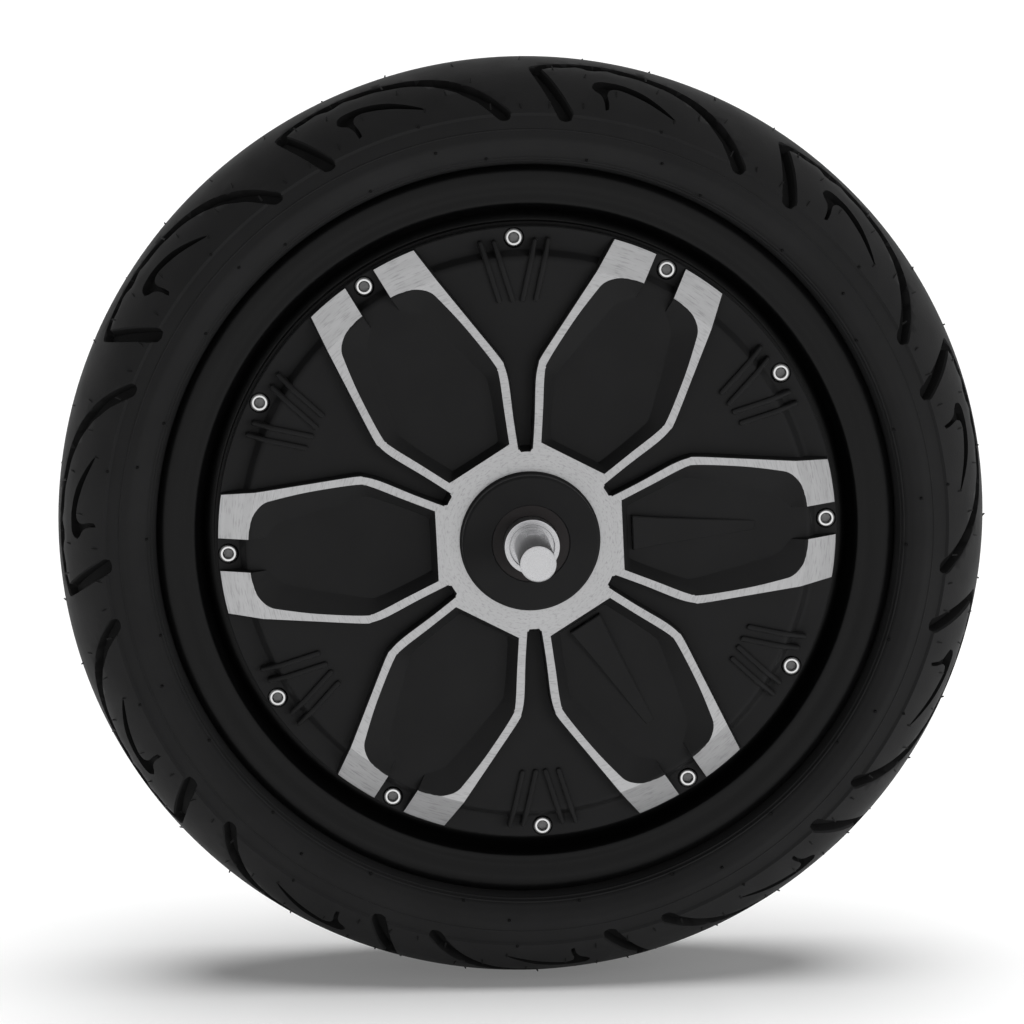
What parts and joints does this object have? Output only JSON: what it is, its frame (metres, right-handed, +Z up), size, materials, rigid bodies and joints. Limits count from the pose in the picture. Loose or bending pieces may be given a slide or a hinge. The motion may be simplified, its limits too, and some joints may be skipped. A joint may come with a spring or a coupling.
{
  "type": "hub motor wheel",
  "caption": "Scooter rear wheel with a hub motor: tubeless tyre on a cast rim whose drum turns on a fixed hollow axle, with patterned side covers.",
  "frame": {"origin": "centre of the wheel on the axle line, at the middle of the tyre's width", "axes": "+Y along the axle towards the brake and cable side, -Y towards the patterned cover, +Z up, +X towards the rear as seen from the patterned side"},
  "size_m": [0.4308, 0.21, 0.4308],
  "materials": {
    "tyre_rubber": "matte moulded rubber",
    "black_paint": "satin black powder coat on cast aluminium",
    "stainless": "bright stainless steel",
    "gasket_sheet": "compressed fibre sheet",
    "plain_steel": "turned mild steel",
    "magnet_plating": "nickel plate",
    "bearing_steel": "ground bearing steel",
    "cage_brass": "machined brass",
    "seal_rubber": "moulded nitrile rubber",
    "axle_steel": "ground steel",
    "cast_aluminium": "bare die casting",
    "laminations": "stacked silicon steel sheet",
    "insulation": "glass-filled nylon",
    "copper_wire": "enamelled copper wire",
    "circuit_board": "solder mask",
    "sensor_plastic": "moulded black plastic",
    "valve_brass": "machined brass"
  },
  "bodies": {
    "axle_and_stator": {"axle": "axle_steel", "axle_key": "plain_steel", "left_spacer": "axle_steel", "right_spacer": "axle_steel", "left_inner_race": "bearing_steel", "right_inner_race": "bearing_steel", "stator_spider": "cast_aluminium", "stator_core": "laminations", "left_insulator": "insulation", "right_insulator": "insulation", "windings": "copper_wire", "hall_board": "circuit_board", "hall_sensors": "sensor_plastic"},
    "wheel": {"tyre": "tyre_rubber", "rim": "black_paint", "left_cover": "black_paint", "right_cover": "black_paint", "left_cover_screws": "stainless", "right_cover_screws": "stainless", "left_gasket": "gasket_sheet", "right_gasket": "gasket_sheet", "flux_ring": "plain_steel", "magnets": "magnet_plating", "left_outer_race": "bearing_steel", "right_outer_race": "bearing_steel", "left_shields": "bearing_steel", "right_shields": "bearing_steel", "left_seal": "seal_rubber", "right_seal": "seal_rubber", "valve_stem": "valve_brass", "valve_washer": "seal_rubber", "valve_nut": "stainless", "valve_core": "valve_brass", "valve_cap": "sensor_plastic"},
    "left_ball_set": {"left_balls": "bearing_steel", "left_cage": "cage_brass"},
    "right_ball_set": {"right_balls": "bearing_steel", "right_cage": "cage_brass"}
  },
  "joints": [
    {"name": "wheel_spin", "type": "hinge", "parent": "axle_and_stator", "child": "wheel", "pos_m": [0, 0, 0], "axis": [0, 1, 0], "continuous": true},
    {"name": "left_cage_turn", "type": "hinge", "parent": "axle_and_stator", "child": "left_ball_set", "pos_m": [0, 0, 0], "axis": [0, 1, 0], "continuous": true},
    {"name": "right_cage_turn", "type": "hinge", "parent": "axle_and_stator", "child": "right_ball_set", "pos_m": [0, 0, 0], "axis": [0, 1, 0], "continuous": true}
  ],
  "couplings": [
    {"joint": "left_cage_turn", "follows": "wheel_spin", "ratio": 0.6185},
    {"joint": "right_cage_turn", "follows": "wheel_spin", "ratio": 0.6031}
  ]
}
